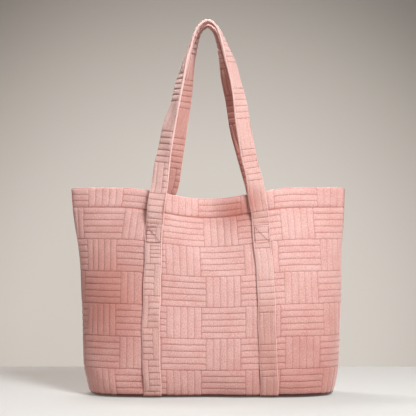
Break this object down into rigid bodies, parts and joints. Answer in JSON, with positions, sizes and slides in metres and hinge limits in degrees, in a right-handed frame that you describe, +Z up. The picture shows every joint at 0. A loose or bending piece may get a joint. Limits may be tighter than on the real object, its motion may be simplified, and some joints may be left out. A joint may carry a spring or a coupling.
{
  "type": "tote bag",
  "caption": "Soft ribbed-terry tote bag with a flat base, open dipped mouth and two long flat shoulder straps that stand up and fold outwards.",
  "frame": {"origin": "centre of the bottom face the bag stands on", "axes": "+Z up, -Y out of the front, +X to the right as seen from the front"},
  "size_m": [0.47, 0.1296, 0.64],
  "materials": {
    "terry": "matte",
    "strap": "matte",
    "lining": "matte",
    "thread": "satin",
    "board": "matte"
  },
  "bodies": {
    "bag": {"front_panel": "terry", "back_panel": "terry", "base_panel": "terry", "front_hem_facing": "terry", "back_hem_facing": "terry", "front_hem_stitch": "thread", "back_hem_stitch": "thread", "front_lining": "lining", "back_lining": "lining", "base_lining": "lining", "base_board": "board", "inner_pocket": "lining", "front_left_strap_leg": "strap", "front_left_box_stitch": "thread", "front_right_strap_leg": "strap", "front_right_box_stitch": "thread", "back_left_strap_leg": "strap", "back_left_box_stitch": "thread", "back_right_strap_leg": "strap", "back_right_box_stitch": "thread"},
    "front_handle": {"front_handle_loop": "strap"},
    "back_handle": {"back_handle_loop": "strap"}
  },
  "joints": [
    {"name": "front_handle_fold", "type": "hinge", "parent": "bag", "child": "front_handle", "pos_m": [0, -0.0475, 0.292], "axis": [1, 0, 0], "range_deg": [0, 145]},
    {"name": "back_handle_fold", "type": "hinge", "parent": "bag", "child": "back_handle", "pos_m": [0, 0.0475, 0.292], "axis": [-1, 0, 0], "range_deg": [0, 145]}
  ]
}
